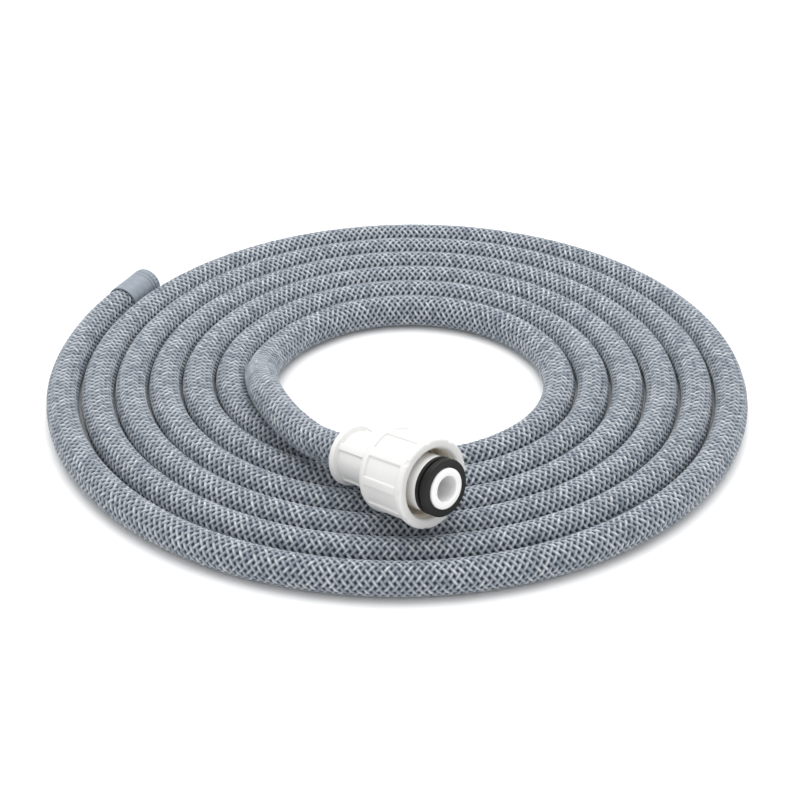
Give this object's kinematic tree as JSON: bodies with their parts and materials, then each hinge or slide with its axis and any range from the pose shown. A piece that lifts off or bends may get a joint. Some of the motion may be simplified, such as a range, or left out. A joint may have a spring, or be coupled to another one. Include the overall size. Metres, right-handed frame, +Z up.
{
  "type": "coiled rinse hose",
  "caption": "Flat coil of braided rinse hose with a white swivel union coupling on the inner end and a plugged tail on the outer end.",
  "frame": {"origin": "middle of the whole kit in plan, on the surface it lies on", "axes": "+Z up through the flat coil, +X the way the coupling points in plan, +Y to its left"},
  "size_m": [0.5522, 0.5438, 0.0962],
  "materials": {
    "braid": "matte woven textile braid in pale and dark blue-grey strands",
    "hose_wall": "smooth matte soft hose wall",
    "white_plastic": "moulded satin white plastic",
    "seal_rubber": "matte black rubber",
    "grey_plastic": "moulded satin grey plastic"
  },
  "bodies": {
    "hose": {"hose_coil": "braid", "hose_lead": "braid", "inner_hose_end": "hose_wall", "hose_collar": "white_plastic", "coupling_tail": "white_plastic", "rear_seal": "seal_rubber", "front_seal": "seal_rubber", "outer_hose_end": "hose_wall", "end_ferrule": "grey_plastic", "end_tail": "grey_plastic"},
    "nut_carrier": {"slip_ring": "white_plastic"},
    "nut": {"union_nut": "white_plastic"},
    "plug": {"end_plug": "grey_plastic", "plug_ring": "seal_rubber"}
  },
  "joints": [
    {"name": "nut_slide", "type": "slide", "parent": "hose", "child": "nut_carrier", "axis": [0.9877, 0, 0.1564], "range_m": [0, 0.008]},
    {"name": "nut_spin", "type": "hinge", "parent": "nut_carrier", "child": "nut", "pos_m": [0.0942, -0.13686, 0.0508], "axis": [0.9877, 0, 0.1564], "continuous": true},
    {"name": "plug_pull", "type": "slide", "parent": "hose", "child": "plug", "axis": [-0.3139, 0.9495, 0], "range_m": [0, 0.022]}
  ]
}
